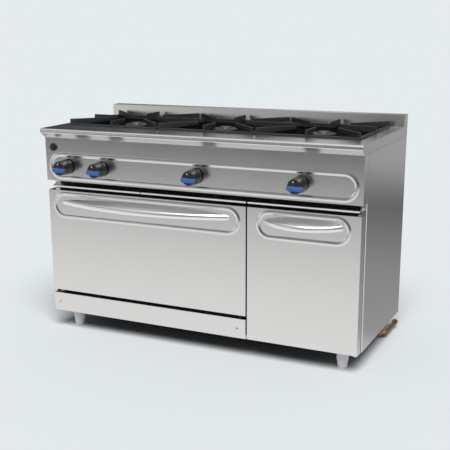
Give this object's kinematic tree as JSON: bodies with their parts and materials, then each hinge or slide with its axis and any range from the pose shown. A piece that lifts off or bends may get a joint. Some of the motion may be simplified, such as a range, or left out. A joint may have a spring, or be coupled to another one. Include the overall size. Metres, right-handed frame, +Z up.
{
  "type": "commercial gas range",
  "caption": "Stainless steel commercial gas range: open burners with cast iron pan supports over an oven with a drop-down door and a cupboard.",
  "frame": {"origin": "centre of the footprint (bounding box), on the floor under the feet", "axes": "+X to the right as seen by the cook, along the width; +Y to the back; +Z up"},
  "size_m": [1.2, 0.594, 0.805],
  "materials": {
    "brushed_steel": "brushed stainless sheet",
    "polished_steel": "polished stainless bar",
    "inner_steel": "plain mill-finish sheet",
    "frame_steel": "dark painted frame",
    "black_enamel": "glossy black enamel",
    "mineral_wool": "mineral wool slab",
    "seal": "woven heat seal",
    "cast_iron": "matt enamelled cast iron",
    "chromed_wire": "chromed wire",
    "burner_iron": "cast burner body",
    "burner_cap": "dark enamelled cap",
    "zinc_steel": "zinc-plated steel",
    "brass": "machined brass",
    "copper": "drawn copper tube",
    "foot_nylon": "white nylon foot",
    "knob_plastic": "moulded phenolic",
    "black_plastic": "moulded plastic"
  },
  "bodies": {
    "range_body": {"side_panel_left": "brushed_steel", "side_panel_right": "brushed_steel", "rear_panel": "brushed_steel", "base_panel": "brushed_steel", "partition": "brushed_steel", "mullion": "frame_steel", "cross_rails": "frame_steel", "worktop": "brushed_steel", "upstand": "brushed_steel", "spill_trays": "black_enamel", "control_panel": "brushed_steel", "louvre_blades": "brushed_steel", "kick_panel": "brushed_steel", "panel_screws": "zinc_steel", "oven_liner": "black_enamel", "oven_insulation": "mineral_wool", "door_seal": "seal", "oven_sole_plate": "cast_iron", "oven_burner": "burner_iron", "shelf_racks": "chromed_wire", "oven_shelf": "chromed_wire", "oven_flue": "inner_steel", "burner_bodies": "burner_iron", "gas_manifold": "zinc_steel", "gas_taps": "brass", "gas_feed_pipes": "copper", "gas_inlet_pipe": "copper", "inlet_union": "brass", "foot_sleeves": "foot_nylon", "oven_hinge_brackets": "zinc_steel", "cupboard_hinge_brackets": "zinc_steel", "door_catch": "black_plastic", "igniter_body": "black_plastic"},
    "igniter_button": {"igniter_button": "black_plastic"},
    "oven_door": {"oven_door_skin": "brushed_steel", "oven_door_liner": "inner_steel", "oven_door_insulation": "mineral_wool", "oven_door_handle": "polished_steel", "oven_door_hinges": "zinc_steel"},
    "cupboard_door": {"cupboard_door_skin": "brushed_steel", "cupboard_door_liner": "inner_steel", "cupboard_door_handle": "polished_steel"},
    "tap_oven": {"tap_spindle_oven": "zinc_steel"},
    "knob_oven": {"knob_oven": "knob_plastic"},
    "tap_left": {"tap_spindle_left": "zinc_steel"},
    "knob_left": {"knob_left": "knob_plastic"},
    "tap_middle": {"tap_spindle_middle": "zinc_steel"},
    "knob_middle": {"knob_middle": "knob_plastic"},
    "tap_right": {"tap_spindle_right": "zinc_steel"},
    "knob_right": {"knob_right": "knob_plastic"},
    "pan_support_left": {"pan_support_left": "cast_iron"},
    "burner_cap_left": {"burner_cap_left": "burner_cap"},
    "pan_support_middle": {"pan_support_middle": "cast_iron"},
    "burner_cap_middle": {"burner_cap_middle": "burner_cap"},
    "pan_support_right": {"pan_support_right": "cast_iron"},
    "burner_cap_right": {"burner_cap_right": "burner_cap"},
    "foot_front_left": {"foot_front_left": "foot_nylon"},
    "foot_front_right": {"foot_front_right": "foot_nylon"},
    "foot_rear_left": {"foot_rear_left": "foot_nylon"},
    "foot_rear_right": {"foot_rear_right": "foot_nylon"}
  },
  "joints": [
    {"name": "igniter_press", "type": "slide", "parent": "range_body", "child": "igniter_button", "axis": [0, 1, 0], "range_m": [0, 0.005], "stiffness_N_per_m": 1500, "springref_m": -0.004},
    {"name": "oven_door_open", "type": "hinge", "parent": "range_body", "child": "oven_door", "pos_m": [0, -0.229, 0.146], "axis": [1, 0, 0], "range_deg": [0, 90]},
    {"name": "cupboard_door_open", "type": "hinge", "parent": "range_body", "child": "cupboard_door", "pos_m": [0.589, -0.227, 0.298], "axis": [0, 0, 1], "range_deg": [0, 110]},
    {"name": "tap_turn_oven", "type": "hinge", "parent": "range_body", "child": "tap_oven", "pos_m": [-0.5075, -0.235, 0.6255], "axis": [0, -1, 0], "range_deg": [0, 270]},
    {"name": "knob_push_oven", "type": "slide", "parent": "tap_oven", "child": "knob_oven", "axis": [0, 1, 0], "range_m": [0, 0.004], "stiffness_N_per_m": 1000, "springref_m": -0.004},
    {"name": "tap_turn_left", "type": "hinge", "parent": "range_body", "child": "tap_left", "pos_m": [-0.3625, -0.235, 0.6255], "axis": [0, -1, 0], "range_deg": [0, 180]},
    {"name": "knob_push_left", "type": "slide", "parent": "tap_left", "child": "knob_left", "axis": [0, 1, 0], "range_m": [0, 0.004], "stiffness_N_per_m": 1000, "springref_m": -0.004},
    {"name": "tap_turn_middle", "type": "hinge", "parent": "range_body", "child": "tap_middle", "pos_m": [0.014, -0.235, 0.6255], "axis": [0, -1, 0], "range_deg": [0, 180]},
    {"name": "knob_push_middle", "type": "slide", "parent": "tap_middle", "child": "knob_middle", "axis": [0, 1, 0], "range_m": [0, 0.004], "stiffness_N_per_m": 1000, "springref_m": -0.004},
    {"name": "tap_turn_right", "type": "hinge", "parent": "range_body", "child": "tap_right", "pos_m": [0.3905, -0.235, 0.6255], "axis": [0, -1, 0], "range_deg": [0, 180]},
    {"name": "knob_push_right", "type": "slide", "parent": "tap_right", "child": "knob_right", "axis": [0, 1, 0], "range_m": [0, 0.004], "stiffness_N_per_m": 1000, "springref_m": -0.004},
    {"name": "pan_support_lift_left", "type": "slide", "parent": "range_body", "child": "pan_support_left", "axis": [0, 0, 1], "range_m": [0, 0.06]},
    {"name": "burner_cap_lift_left", "type": "slide", "parent": "range_body", "child": "burner_cap_left", "axis": [0, 0, 1], "range_m": [0, 0.03]},
    {"name": "pan_support_lift_middle", "type": "slide", "parent": "range_body", "child": "pan_support_middle", "axis": [0, 0, 1], "range_m": [0, 0.06]},
    {"name": "burner_cap_lift_middle", "type": "slide", "parent": "range_body", "child": "burner_cap_middle", "axis": [0, 0, 1], "range_m": [0, 0.03]},
    {"name": "pan_support_lift_right", "type": "slide", "parent": "range_body", "child": "pan_support_right", "axis": [0, 0, 1], "range_m": [0, 0.06]},
    {"name": "burner_cap_lift_right", "type": "slide", "parent": "range_body", "child": "burner_cap_right", "axis": [0, 0, 1], "range_m": [0, 0.03]},
    {"name": "foot_extend_front_left", "type": "slide", "parent": "range_body", "child": "foot_front_left", "axis": [0, 0, -1], "range_m": [0, 0.02]},
    {"name": "foot_extend_front_right", "type": "slide", "parent": "range_body", "child": "foot_front_right", "axis": [0, 0, -1], "range_m": [0, 0.02]},
    {"name": "foot_extend_rear_left", "type": "slide", "parent": "range_body", "child": "foot_rear_left", "axis": [0, 0, -1], "range_m": [0, 0.02]},
    {"name": "foot_extend_rear_right", "type": "slide", "parent": "range_body", "child": "foot_rear_right", "axis": [0, 0, -1], "range_m": [0, 0.02]}
  ]
}
